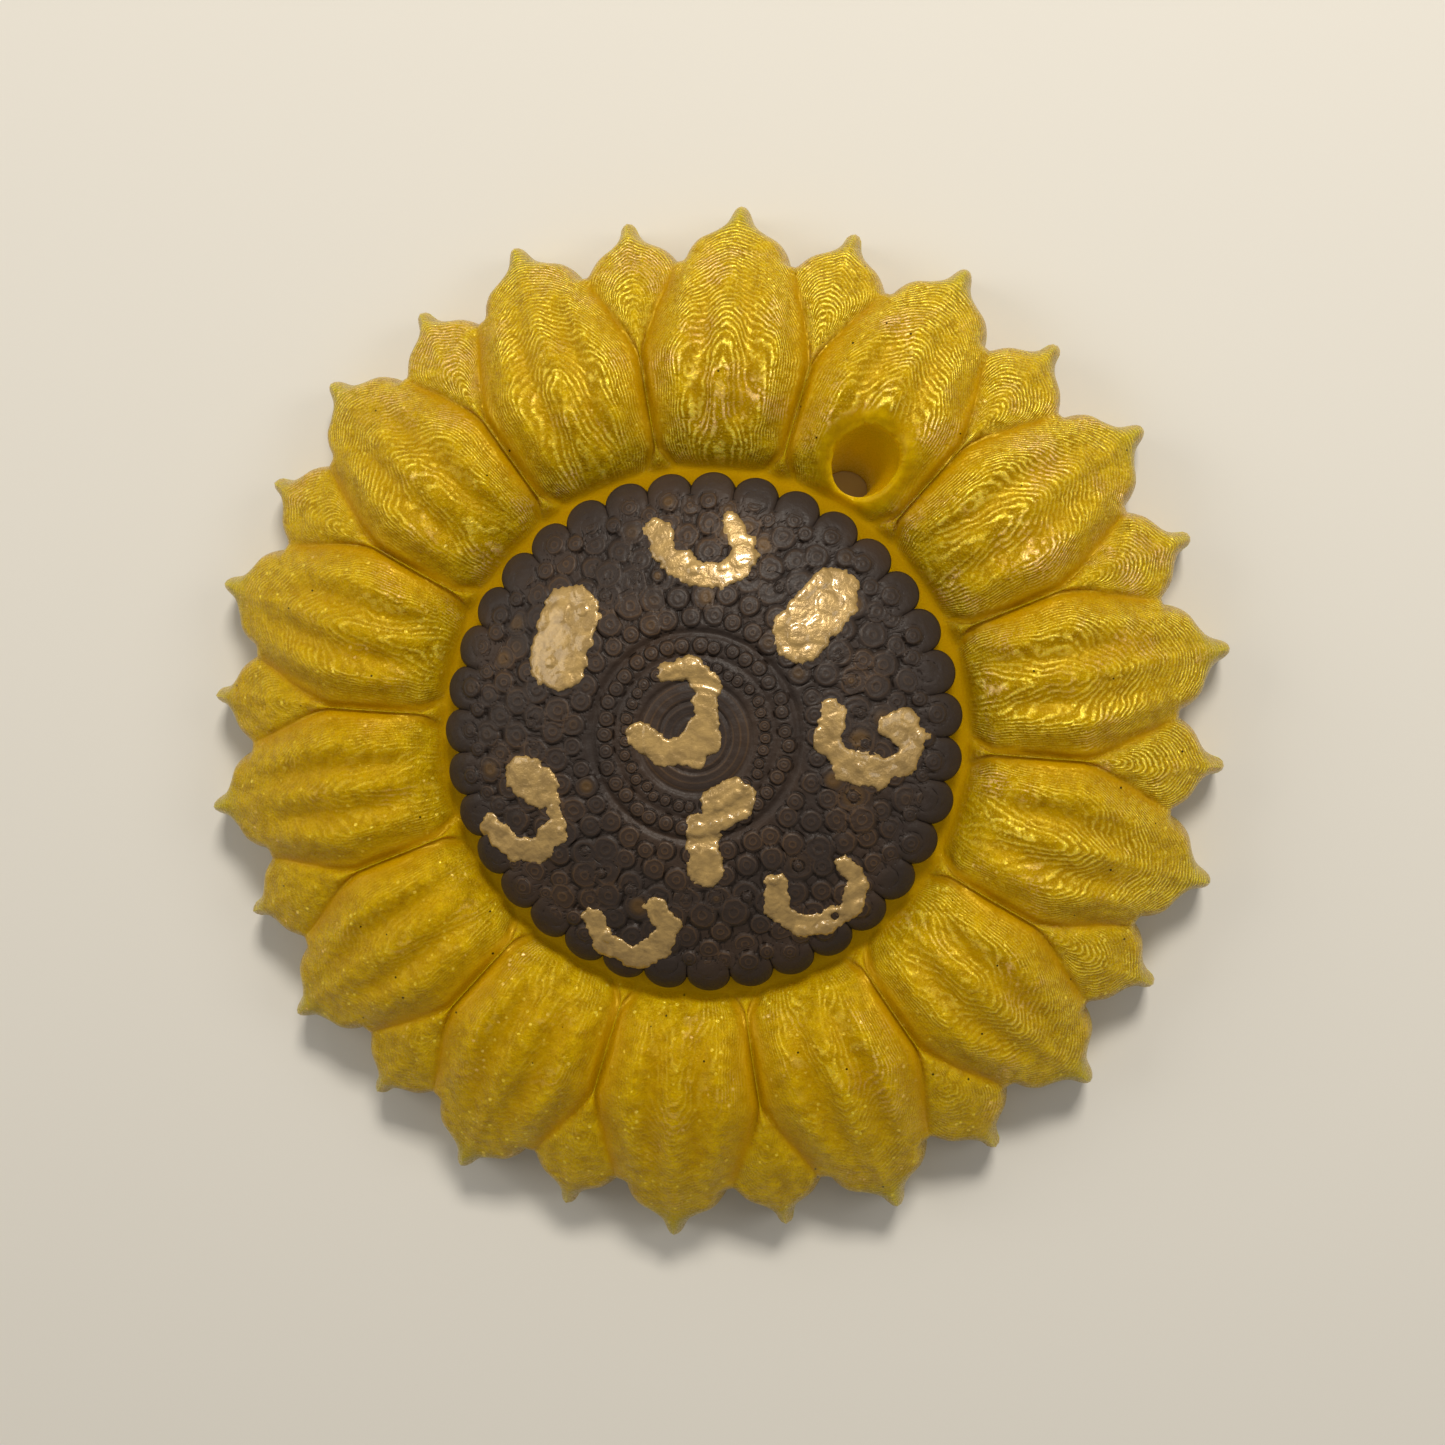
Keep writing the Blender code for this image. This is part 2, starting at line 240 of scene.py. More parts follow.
# The face rolls over into the wall along the rim, as far in as the rounding reaches.
rim_x, rim_y = rim_radius * np.sin(off_axis[-1]), rim_radius * np.cos(off_axis[-1])
outline = np.column_stack([np.concatenate([-rim_x[::-1], rim_x]), np.concatenate([rim_y[::-1], rim_y])])
turn = np.array([[math.cos(PETAL_PITCH), -math.sin(PETAL_PITCH)], [math.sin(PETAL_PITCH), math.cos(PETAL_PITCH)]])
outline = np.vstack([outline, outline @ turn])
fine = np.linspace(0, len(outline) - 1, 4 * len(outline))
outline = np.column_stack([np.interp(fine, np.arange(len(outline)), outline[:, i]) for i in (0, 1)])
place = np.stack([radius * np.sin(off_axis), radius * np.cos(off_axis)], axis=-1)
rim_gap = np.full(radius.shape, RIM_ROUNDING)
for ring in range(BODY_RINGS - 6, len(radius)):
    gaps = np.linalg.norm(place[ring][:, None] - outline[None], axis=-1).min(axis=1)
    rim_gap[ring] = np.minimum(gaps, RIM_ROUNDING)
rim_gap[-1] = 0

# The contour lines follow the master's height, its flutes more than its crown, so they run along the petals
# and turn across them towards the tips. Their height is kept before the rim is rounded.
top_radius, top_height = crown_line[crown_line[:, 1].argmax()]
flat_crown = np.where(radius < top_radius, top_height + CONTOUR_DRAFT * (top_radius - radius), crown)
layer = np.where(
    wall_at < 1, CONTOUR_STEEP * flat_crown + FLUTE_DEPTH * flutes - CONTOUR_FALL * front_share**2,
    CONTOUR_STEEP * back_height - BACK_CONTOUR_FALL * back_share**2)
edge_gap = np.abs(off_axis - (spread + foot) / 2) * radius
crease = np.exp(-(edge_gap / CREASE_WIDTH) ** 2) * (1 - fade(radius, notch_radius - 3, notch_radius))
root = 1 - fade(radius, 23.3, 24.5)
valley = np.where(wall_at < 1, fluted * (0.5 - 0.5 * np.cos(2 * math.pi * front_share / FLUTE_SPACING)), 0)
crest = (1 - np.maximum(crease, root)) * (1 - 0.5 * valley)
tip = fade(radius, 42.5, 46.5)
rounding = np.sqrt(1 - (1 - rim_gap / RIM_ROUNDING) ** 2)
height = RIM_HEIGHT + (height - RIM_HEIGHT) * rounding
texture = fade(rim_gap, 0.1, 0.9)


def down_the_wall(values, last):
    """Repeats the rim's values down the wall, or sets them all to last there."""
    rows = np.repeat(values[-1:], WALL_RINGS, axis=0)
    return np.vstack([values, rows if last is None else 0 * rows + last])


wall_heights = RIM_HEIGHT * (1 - np.arange(1, WALL_RINGS + 1)[:, None] / WALL_RINGS)
height = np.vstack([height, wall_heights + 0 * rim_radius])
radius, off_axis, lateral, back_lateral, layer = (
    down_the_wall(values, None) for values in (radius, off_axis, lateral, back_lateral, layer))
crest, tip = down_the_wall(crest, None), down_the_wall(tip, None)
texture = down_the_wall(texture, 0)


def rough(points, spacing, detail):
    """Noise from about -1 to 1 at each point in mm, with lumps about one spacing apart."""
    return np.array([noise.fractal(Vector(point) / spacing, 1.0, 2.0, detail) for point in points])


def polar_grid(columns, rings):
    """A grid mesh, with the column and ring of each of its vertices."""
    sheet = bmesh.new()
    bmesh.ops.create_grid(sheet, x_segments=columns, y_segments=rings, size=0.5)
    at = np.array([vertex.co[:2] for vertex in sheet.verts])
    mesh = bpy.data.meshes.new("sheet")
    sheet.to_mesh(mesh)
    sheet.free()
    index = np.rint((at + 0.5) * (columns, rings)).astype(int)
    return mesh, index[:, 0] % columns, index[:, 1]


def finish_grid(mesh, points, values):
    """Places a grid's points, given in mm, and stores a value per point under each name."""
    mesh.vertices.foreach_set("co", (points * MM).ravel())
    for name, numbers in values.items():
        mesh.attributes.new(name, "FLOAT", "POINT").data.foreach_set("value", numbers.astype(np.float32))


mesh, column, ring = polar_grid(PETALS_A_LAYER * 2 * half_columns, len(radius) - 1)
petal, step = np.divmod(column, 2 * half_columns)
past = step > half_columns
step = np.where(past, 2 * half_columns - step, step)
side = np.where(past, -1, 1)
angle = TIP_TURN + (petal + past) * PETAL_PITCH + side * off_axis[ring, step]
points = np.column_stack([
    radius[ring, step] * np.sin(angle), radius[ring, step] * np.cos(angle), height[ring, step]])
on_back = step > FRONT_COLUMNS + WALL_COLUMNS / 2
streak_at = np.column_stack([
    np.where(on_back, -side * back_lateral[ring, step], side * lateral[ring, step]) / STREAK_SPACING,
    radius[ring, step] / STREAK_LENGTH, 9.7 * (petal + past * ~on_back) + 400 * on_back])

# The mouth of the hanging hole is melted smooth and rolls over into the bore.
outward = Vector((*HOLE_MOUTH.xy, 0)).normalized()
below = (HOLE_MOUTH.z - points[:, 2:3]) * math.tan(HOLE_LEAN)
from_hole = np.linalg.norm(points[:, :2] - np.array(HOLE_MOUTH.xy) + np.array(outward.xy) * below, axis=1)
mouth = np.clip((COLLAR_RADIUS - from_hole) / (COLLAR_RADIUS - HOLE_RADIUS), 0, 1)
on_face = ring <= BODY_RINGS + RIM_RINGS
points[:, 2] -= np.where(on_face & (from_hole < 8), COLLAR_DROP * (1 - np.sqrt(1 - mouth**2)), 0)
melted = 1 - fade(from_hole, COLLAR_RADIUS - 0.3, COLLAR_RADIUS + 0.9)
# Towards the upper right, the side that the window lights, the relief grows, and so do the painted glints and the
# painted shade between the lines; across from it they fade.
window_side = LEAST_WINDOW_SIDE + (1 - LEAST_WINDOW_SIDE) * fade(points[:, :2] @ (0.6, 0.8), WINDOW_SIDE_FROM, WINDOW_SIDE_FULL)
lumpy = (0.4 + 0.6 * window_side) * texture[ring, step] * (1 - melted) * fade(radius[ring, step], 23.4, 25.0)
lumps = LUMP_HEIGHT * rough(points * (1, 1, 0.6), LUMP_SPACING, 2)
streaks = STREAK_HEIGHT * rough(streak_at, 1.0, 2) * (1 - fade(radius[ring, step], 40.0, 44.0))
crinkles = CRINKLE_HEIGHT * rough(points + 50, CRINKLE_SPACING, 2)
points[:, 2] += lumpy * (lumps + streaks + crinkles)
finish_grid(mesh, points, {
    "layer": layer[ring, step] + 1.2 * lumps + 0.8 * streaks, "crest": crest[ring, step], "tip": tip[ring, step],
    "melted": melted, "window_side": window_side, "face": texture[ring, step]})

casting = bmesh.new()
casting.from_mesh(mesh)
bmesh.ops.remove_doubles(casting, verts=casting.verts, dist=0.001 * MM)
rims = [edge for edge in casting.edges if edge.is_boundary]
for loop in ([e for e in rims if e.verts[0].co.z < 1 * MM], [e for e in rims if e.verts[0].co.z >= 1 * MM]):
    bmesh.ops.contextual_create(casting, geom=loop)
bmesh.ops.recalc_face_normals(casting, faces=casting.faces)
casting.to_mesh(mesh)
casting.free()
mesh.name = "petal_casting_piece"
petals = bpy.data.objects.new("petal_casting_piece", mesh)
bpy.context.scene.collection.objects.link(petals)

# The bore was pushed through the soft casting, so its wall is uneven and narrows towards the back.
BORE_SIDES, BORE_STEPS, BORE_LENGTH = 64, 30, 34.0
bore = bmesh.new()
bmesh.ops.create_circle(bore, segments=BORE_SIDES, radius=HOLE_RADIUS * MM)
rim = bore.edges[:]
for corner in bore.verts:
    corner.co.z = -BORE_LENGTH / 2 * MM
for level in range(1, BORE_STEPS + 1):
    grown = bmesh.ops.extrude_edge_only(bore, edges=rim)["geom"]
    for corner in (item for item in grown if isinstance(item, bmesh.types.BMVert)):
        corner.co.z = (level / BORE_STEPS - 0.5) * BORE_LENGTH * MM
    rim = [item for item in grown if isinstance(item, bmesh.types.BMEdge) and item.is_boundary]
bmesh.ops.holes_fill(bore, edges=bore.edges, sides=0)
for corner in bore.verts:
    wobble = BORE_WOBBLE * noise.fractal(corner.co * 1000 / 3.0 + Vector((5, 3, 1)), 1.0, 2.0, 2)
    down = fade(-corner.co.z / MM, 1.5, 8.0)
    corner.co.xy *= 1 + (wobble - (HOLE_RADIUS - HOLE_FOOT_RADIUS) * down) / HOLE_RADIUS
    corner.co.x -= HOLE_FOOT_SHIFT * down * MM
bmesh.ops.recalc_face_normals(bore, faces=bore.faces)
lean = Matrix.Rotation(HOLE_LEAN, 4, Vector((0, 0, 1)).cross(outward))
bmesh.ops.transform(bore, verts=bore.verts, matrix=Matrix.Translation(HOLE_MOUTH * MM) @ lean)
bore_mesh = bpy.data.meshes.new("bore")
bore.to_mesh(bore_mesh)
bore.free()
cutter = bpy.data.objects.new("bore", bore_mesh)
bpy.context.scene.collection.objects.link(cutter)
cut = petals.modifiers.new("hanging hole", "BOOLEAN")
cut.operation = "DIFFERENCE"
cut.object = cutter
cut.solver = "EXACT"
bpy.context.view_layer.update()
drilled = bpy.data.meshes.new_from_object(petals.evaluated_get(bpy.context.evaluated_depsgraph_get()))
petals.modifiers.clear()
petals.data = drilled
bpy.data.objects.remove(cutter)
drilled.shade_smooth()
drilled.set_sharp_from_angle(angle=math.radians(50))

# Light that soaks through the casting makes the bore's wall glow, most of all near its mouth, and the groove
# round the disc a little. The bore's foot has no glow, because its corners are also the flat back's.
GLOW_FROM, GLOW_FULL, BORE_GLOW = -8.0, 9.0, 0.26
GROOVE_GLOW = 0.14
at = np.empty(3 * len(drilled.vertices))
drilled.vertices.foreach_get("co", at)
at = at.reshape(-1, 3) / MM
below = (HOLE_MOUTH.z - at[:, 2:3]) * math.tan(HOLE_LEAN)
from_axis = np.linalg.norm(at[:, :2] - np.array(HOLE_MOUTH.xy) + np.array(outward.xy) * below, axis=1)
glow = (1 - fade(from_axis, HOLE_RADIUS + 0.2, HOLE_RADIUS + 0.4)) * fade(at[:, 2], GLOW_FROM, GLOW_FULL)
glow *= at[:, 2] > 0.05
drilled.attributes.new("glow", "FLOAT", "POINT").data.foreach_set("value", glow.astype(np.float32))

# Material: fused translucent polymer with fine gold mica, yellow-olive towards the thin tips. Its creases, the root by
# the groove and the flute valleys are painted darker amber as painted shade, and the mica along the mould's contour
# lines is painted bright together with painted glints. The lines are drawn about a fifth wider apart than the print's
# real 0.24 mm layers, so that they show in the view.
LAYER_PITCH = 0.29
resin, tree, shader = new_material("mica-filled translucent golden polymer")
where = add(tree, "TexCoord").outputs["Object"]
in_mm = add(tree, "VectorMath", {0: where, "Scale": 1000.0}, operation="SCALE").outputs[0]
layer_height = add(tree, "Attribute", attribute_name="layer").outputs["Fac"]
crest = add(tree, "Attribute", attribute_name="crest").outputs["Fac"]
near_tip = add(tree, "Attribute", attribute_name="tip").outputs["Fac"]
smooth_collar = add(tree, "Attribute", attribute_name="melted").outputs["Fac"]
on_top = add(tree, "Attribute", attribute_name="face").outputs["Fac"]
patches = add(tree, "TexNoise", {"Vector": in_mm, "Scale": 0.24, "Detail": 3.0, "Roughness": 0.55})
broad = patches.outputs["Fac"]
painted_sheen = add(tree, "SeparateColor", {0: patches.outputs["Color"]}).outputs[1]
wander = add(tree, "TexNoise", {"Vector": in_mm, "Scale": 0.9, "Detail": 3.0, "Roughness": 0.55}).outputs["Fac"]
crinkle = add(tree, "TexNoise", {"Vector": in_mm, "Scale": 2.0, "Detail": 3.0, "Roughness": 0.6}).outputs["Fac"]
grain = add(tree, "TexNoise", {"Vector": in_mm, "Scale": 5.0, "Detail": 2.0, "Roughness": 0.6}).outputs["Fac"]

# Contour lines: print layers, bent by the lumps in the surface and broken up by melting.
layers = add(tree, "Math", {0: wander, 1: 0.3, 2: layer_height}, operation="MULTIPLY_ADD").outputs[0]
phase = add(tree, "Math", {0: layers, 1: 2 * math.pi / LAYER_PITCH}, operation="MULTIPLY").outputs[0]
phase = add(tree, "Math", {0: crinkle, 1: 1.2, 2: phase}, operation="MULTIPLY_ADD").outputs[0]
wave = add(tree, "Math", {0: phase}, operation="SINE").outputs[0]
line = add(tree, "MapRange", {"Value": wave, "From Min": -1.0, "From Max": 1.0}).outputs[0]
clear_patch = add(tree, "MapRange", {
    "Value": broad, "From Min": 0.4, "From Max": 0.56, "To Min": 0.3}, interpolation_type="SMOOTHSTEP").outputs[0]
not_melted = add(tree, "Math", {0: 1.0, 1: smooth_collar}, operation="SUBTRACT").outputs[0]
faceted = add(tree, "Math", {0: on_top, 1: not_melted}, operation="MULTIPLY").outputs[0]
raised = add(tree, "Math", {0: faceted, 1: crest}, operation="MULTIPLY").outputs[0]
# The same weight towards the window's side, here for the painted glints and the painted shade between the lines.
window_side = add(tree, "Attribute", attribute_name="window_side").outputs["Fac"]
window_side = add(tree, "Math", {0: raised, 1: window_side}, operation="MULTIPLY").outputs[0]
lined = add(tree, "Math", {0: clear_patch, 1: window_side}, operation="MULTIPLY").outputs[0]
ridges = add(tree, "Math", {0: line, 1: lined}, operation="MULTIPLY").outputs[0]
# Painted shade: the valleys between the raised contour lines are painted darker amber.
shade_between_lines = add(tree, "Math", {0: lined, 1: ridges}, operation="SUBTRACT").outputs[0]
shade_between_lines = add(tree, "Math", {0: shade_between_lines, 1: 0.45}, operation="MULTIPLY").outputs[0]

# Mica and painted glints: short bright dashes painted on the lines' upper sides stand in for glints, and flakes about
# 0.3 mm wide and fine speckle are mica, painted bright partly as glints.
ridge_top = add(tree, "MapRange", {"Value": line, "From Min": 0.45, "From Max": 0.95}).outputs[0]
dash_break = add(tree, "MapRange", {"Value": crinkle, "From Min": 0.38, "From Max": 0.54}).outputs[0]
glint_dash = add(tree, "Math", {0: ridge_top, 1: dash_break}, operation="MULTIPLY").outputs[0]
glint_dash = add(tree, "Math", {0: glint_dash, 1: lined}, operation="MULTIPLY").outputs[0]
flakes = add(tree, "TexVoronoi", {"Vector": in_mm, "Scale": 2.7})
flake_tone = add(tree, "SeparateColor", {0: flakes.outputs["Color"]})
flake_shape = add(tree, "MapRange", {"Value": flakes.outputs["Distance"], "From Min": 0.55, "From Max": 0.3}).outputs[0]
flake_few = add(tree, "MapRange", {
    "Value": flake_tone.outputs[0], "From Min": 0.94, "From Max": 0.99, "To Max": 0.7}).outputs[0]
flake_glint = add(tree, "Math", {0: flake_shape, 1: flake_few}, operation="MULTIPLY").outputs[0]
flake_glint = add(tree, "Math", {0: flake_glint, 1: raised}, operation="MULTIPLY").outputs[0]
speckle_glint = add(tree, "MapRange", {"Value": grain, "From Min": 0.58, "From Max": 0.68, "To Max": 0.45}).outputs[0]
speckle_glint = add(tree, "Math", {0: speckle_glint, 1: window_side}, operation="MULTIPLY").outputs[0]
mica_and_glints = add(tree, "Math", {0: glint_dash, 1: flake_glint}, operation="MAXIMUM").outputs[0]
mica_and_glints = add(tree, "Math", {0: mica_and_glints, 1: speckle_glint}, operation="MAXIMUM").outputs[0]

shade = add(tree, "MapRange", {"Value": wander, "From Min": 0.35, "From Max": 0.65}).outputs[0]
yellow = add(tree, "Mix", {0: shade, 6: linear("#9E7C00"), 7: linear("#BA9800")}, data_type="RGBA").outputs[2]
# Painted shade: the creases, the root by the groove and the flute valleys are painted darker amber.
body_tone = add(tree, "Mix", {0: crest, 6: linear("#AA7E00"), 7: yellow}, data_type="RGBA").outputs[2]
thinner = add(tree, "MapRange", {"Value": on_top, "To Min": 0.4}).outputs[0]
thinner = add(tree, "Math", {0: near_tip, 1: thinner}, operation="MULTIPLY").outputs[0]
tinted = add(tree, "Mix", {0: thinner, 6: body_tone, 7: linear("#A09008")}, data_type="RGBA").outputs[2]
tinted = add(tree, "Mix", {0: shade_between_lines, 6: tinted, 7: linear("#7E5A00")}, data_type="RGBA").outputs[2]
# Painted sheen: broad patches turn the painted glints pinkish white.
painted_sheen = add(tree, "MapRange", {"Value": painted_sheen, "From Min": 0.53, "From Max": 0.65}).outputs[0]
mica_and_glint_colour = add(tree, "Mix", {0: painted_sheen, 6: linear("#FFE65A"), 7: linear("#FFD890")}, data_type="RGBA").outputs[2]
# The mica and the painted glints brighten the colour.
gold = add(tree, "Mix", {0: mica_and_glints, 6: tinted, 7: mica_and_glint_colour}, data_type="RGBA").outputs[2]

# Specks of dirt in the pour, up to 0.2 mm across.
flat_mm = add(tree, "VectorMath", {0: in_mm, 1: (1.0, 1.0, 0.0)}, operation="MULTIPLY").outputs[0]
dots = add(tree, "TexVoronoi", {"Vector": flat_mm, "Scale": 0.5})
dot_pick = add(tree, "SeparateColor", {0: dots.outputs["Color"]}).outputs[2]
dot_size = add(tree, "MapRange", {"Value": dot_pick, "From Min": 0.65, "From Max": 1.0, "To Max": 0.055}).outputs[0]
dot = add(tree, "Math", {0: dots.outputs["Distance"], 1: dot_size}, operation="LESS_THAN").outputs[0]
dot = add(tree, "Math", {0: dot, 1: on_top}, operation="MULTIPLY").outputs[0]
body_colour = add(tree, "Mix", {0: dot, 6: gold, 7: linear("#241604")}, data_type="RGBA").outputs[2]
tree.links.new(body_colour, shader.inputs["Base Color"])
metal = add(tree, "MapRange", {"Value": mica_and_glints, "To Max": 0.5}).outputs[0]
tree.links.new(metal, shader.inputs["Metallic"])
dull = add(tree, "MapRange", {"Value": grain, "From Min": 0.3, "From Max": 0.7, "To Min": 0.2, "To Max": 0.36}).outputs[0]
tree.links.new(dull, shader.inputs["Roughness"])
soaked = add(tree, "Attribute", attribute_name="glow").outputs["Fac"]
from_middle = add(tree, "VectorMath", {0: flat_mm}, operation="LENGTH").outputs["Value"]
in_groove = add(tree, "MapRange", {
    "Value": from_middle, "From Min": 24.6, "From Max": 23.4, "To Max": GROOVE_GLOW}).outputs[0]
in_groove = add(tree, "Math", {0: in_groove, 1: on_top}, operation="MULTIPLY").outputs[0]
deep = add(tree, "MapRange", {"Value": soaked, "From Min": 0.0, "From Max": 0.5, "To Min": 1.0, "To Max": 0.0}).outputs[0]
in_bore = add(tree, "Math", {0: in_groove, 1: 0.01}, operation="LESS_THAN").outputs[0]
deep = add(tree, "Math", {0: deep, 1: in_bore}, operation="MULTIPLY").outputs[0]
lit = add(tree, "Mix", {0: deep, 6: linear("#B08A00"), 7: linear("#A85000")}, data_type="RGBA").outputs[2]
tree.links.new(lit, shader.inputs["Emission Color"])
soaked = add(tree, "Math", {0: soaked, 1: BORE_GLOW, 2: in_groove}, operation="MULTIPLY_ADD").outputs[0]
tree.links.new(soaked, shader.inputs["Emission Strength"])
shader.inputs["IOR"].default_value = 1.49
shader.inputs["Specular IOR Level"].default_value = 0.4
shader.inputs["Specular Tint"].default_value = linear("#FFDC50")
shader.inputs["Subsurface Weight"].default_value = 0.7
shader.inputs["Subsurface Radius"].default_value = (3.2, 2.6, 0.3)
shader.inputs["Subsurface Scale"].default_value = 1 * MM
relief = add(tree, "Math", {0: ridges, 1: 0.06}, operation="MULTIPLY").outputs[0]
rough_skin = add(tree, "Math", {0: crinkle, 1: 0.22}, operation="MULTIPLY").outputs[0]
rough_skin = add(tree, "Math", {0: grain, 1: 0.1, 2: rough_skin}, operation="MULTIPLY_ADD").outputs[0]
rough_skin = add(tree, "Math", {0: flake_tone.outputs[2], 1: 0.03, 2: rough_skin}, operation="MULTIPLY_ADD").outputs[0]
worn = add(tree, "MapRange", {"Value": raised, "To Min": 0.12, "To Max": 1.0}).outputs[0]
skin = add(tree, "Math", {0: rough_skin, 1: worn, 2: relief}, operation="MULTIPLY_ADD").outputs[0]
bump = add(tree, "Bump", {"Height": skin, "Strength": 1.0, "Distance": 1 * MM})
tree.links.new(bump.outputs[0], shader.inputs["Normal"])
drilled.materials.append(resin)
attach(petals, "root")
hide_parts("petal_casting")

# Seed disc.
# The domed middle of the same pour, under dark brown craft paint: rings of low round pads with
# stepped tops, a scalloped border, and fine rings towards the centre.

DISC_TURN = math.radians(3.1)
BUMPS_A_RING = 35
BUMP_PITCH = 2 * math.pi / BUMPS_A_RING
COLUMNS_A_BUMP = 24
DISC_RINGS, BORDER_RINGS = 94, 14
DISC_DOME = ((0.0, 16.3), (5.0, 16.4), (9.5, 16.05), (14.0, 15.0), (17.5, 13.6), (20.8, 11.9), (22.75, 10.4))
# Ring radius, pad radius, rise, turn as a share of a pitch, squareness of its edge, and how unequal the pads are.
# The first ring is the scalloped border: its lobes run inwards and sink into the dome.
PAD_RINGS = (
    (20.8, 1.95, 0.55, 0.0, 4.0, 0.0), (20.3, 0.9, 0.6, 0.0, 6.0, 1.0), (19.4, 0.85, 0.46, 0.5, 5.0, 1.0),
    (18.3, 1.2, 0.28, 0.0, 5.0, 1.0), (17.1, 1.2, 0.22, 0.5, 5.0, 1.1), (15.6, 1.3, 0.23, 0.0, 5.0, 1.1),
    (13.9, 1.45, 0.16, 0.5, 6.0, 1.1), (14.1, 0.55, 0.26, 0.5, 5.0, 1.4), (12.0, 1.2, 0.21, 0.0, 5.0, 1.1),
    (10.2, 0.98, 0.16, 0.5, 5.0, 1.0), (7.75, 0.7, 0.13, 0.0, 4.0, 0.6), (5.95, 0.54, 0.11, 0.5, 4.0, 0.6),
)
LOBES_FROM = 17.5
PAD_DRIFT, PAD_SIZE_SPREAD, PAD_RISE_SPREAD = 0.3, 0.18, 0.35
MOAT_DEPTH, MOAT_WIDTH = 0.08, 0.13
# Grooves and steps round the middle: radius, depth, half width.
DISC_GROOVES = ((8.75, 0.45, 0.3), (6.85, 0.25, 0.22), (4.65, 0.35, 0.28), (3.9, 0.1, 0.15), (3.0, 0.16, 0.16), (1.95, 0.13, 0.16))
DISC_EDGE_HEIGHT, DISC_UNDERSIDE = 10.3, 8.9

dome_line = spline(DISC_DOME, 200, False)
pad_draws = np.random.default_rng(11).uniform(-1, 1, (len(PAD_RINGS), BUMPS_A_RING, 4))


def disc_face(r, a):
    """Height of the disc's face, share of the way to the pad's edge, mm to an edge, and the pad's own draw."""
    dome = np.interp(r, dome_line[:, 0], dome_line[:, 1])
    rise, share, draw = np.zeros_like(r), np.ones_like(r), np.zeros_like(r)
    edge = np.full_like(r, 2.0)
    for (at, size, tall, turned, square, unequal), draws in zip(PAD_RINGS, pad_draws):
        number = np.floor(a / BUMP_PITCH - turned + 0.5)
        drift = draws[number.astype(int) % BUMPS_A_RING] * unequal
        beside = at * (a / BUMP_PITCH - turned - number) * BUMP_PITCH - PAD_DRIFT * drift[..., 0]
        pad_size = size * (1 + PAD_SIZE_SPREAD * drift[..., 1])
        past = r - at - PAD_DRIFT * drift[..., 2]
        if at == PAD_RINGS[0][0]:
            past = np.maximum(past, 0)
            tall = tall * fade(r, LOBES_FROM, at)
        off = np.hypot(past, beside) / pad_size
        pad_rise = tall * (1 + PAD_RISE_SPREAD * drift[..., 3]) * np.clip(1 - off**square, 0, 1) ** 0.5
        higher = pad_rise > rise
        gap = np.abs(1 - off) * pad_size
        edge = np.where(higher, gap, np.where(off > 1, np.minimum(edge, gap), edge))
        share = np.where(higher & (size < 1.6), off, share)
        draw = np.where(higher, drift[..., 1], draw)
        rise = np.maximum(rise, pad_rise)
    rise = rise - MOAT_DEPTH * np.exp(-(edge / MOAT_WIDTH) ** 2) * fade(22.0 - r, 0.0, 1.0)
    for at, deep, wide in DISC_GROOVES:
        rise = rise - deep * np.exp(-((r - at) / wide) ** 2)
    return dome + rise, share, edge, draw


def disc_edge(a):
    """Radius of the scalloped edge."""
    at, size = PAD_RINGS[0][:2]
    beside = at * ((a / BUMP_PITCH + 0.5) % 1.0 - 0.5) * BUMP_PITCH
    return at + np.sqrt(np.maximum(size**2 - beside**2, 0.3**2))


columns = BUMPS_A_RING * COLUMNS_A_BUMP
mesh, column, ring = polar_grid(columns, DISC_RINGS + BORDER_RINGS + 3)
angle = column * 2 * math.pi / columns
border_from = PAD_RINGS[0][0]
inner = 0.4 + (border_from - 0.4) * np.minimum(ring / DISC_RINGS, 1)
edge_share = np.sin(np.clip((ring - DISC_RINGS) / BORDER_RINGS, 0, 1) * math.pi / 2)
disc_radius = np.where(ring <= DISC_RINGS, inner, border_from + (disc_edge(angle) - border_from) * edge_share)
disc_height, pad_share, pad_edge, pad_draw = disc_face(disc_radius, angle)
disc_height = np.maximum(disc_height, DISC_EDGE_HEIGHT)
skirt = np.clip(ring - DISC_RINGS - BORDER_RINGS, 0, 3)
skirt_height = DISC_EDGE_HEIGHT - (DISC_EDGE_HEIGHT - DISC_UNDERSIDE) * skirt / 3
disc_height = np.where(skirt > 0, skirt_height, disc_height)
turned = DISC_TURN + angle
points = np.column_stack([disc_radius * np.sin(turned), disc_radius * np.cos(turned), disc_height])
points[:, 2] += np.where(skirt > 0, 0, 0.05 * rough(points * (1, 1, 0.3), 1.1, 2))
finish_grid(mesh, points, {"pad_share": pad_share, "pad_edge": pad_edge, "pad_draw": pad_draw})
disc = bmesh.new()
disc.from_mesh(mesh)
bmesh.ops.remove_doubles(disc, verts=disc.verts, dist=0.001 * MM)
rims = [edge for edge in disc.edges if edge.is_boundary]
for loop in ([e for e in rims if e.verts[0].co.z < 10 * MM], [e for e in rims if e.verts[0].co.z >= 10 * MM]):
    bmesh.ops.contextual_create(disc, geom=loop)
bmesh.ops.recalc_face_normals(disc, faces=disc.faces)
disc.to_mesh(mesh)
disc.free()
mesh.name = "seed_disc_piece"
mesh.shade_smooth()
mesh.set_sharp_from_angle(angle=math.radians(60))
seeds = bpy.data.objects.new("seed_disc_piece", mesh)
bpy.context.scene.collection.objects.link(seeds)

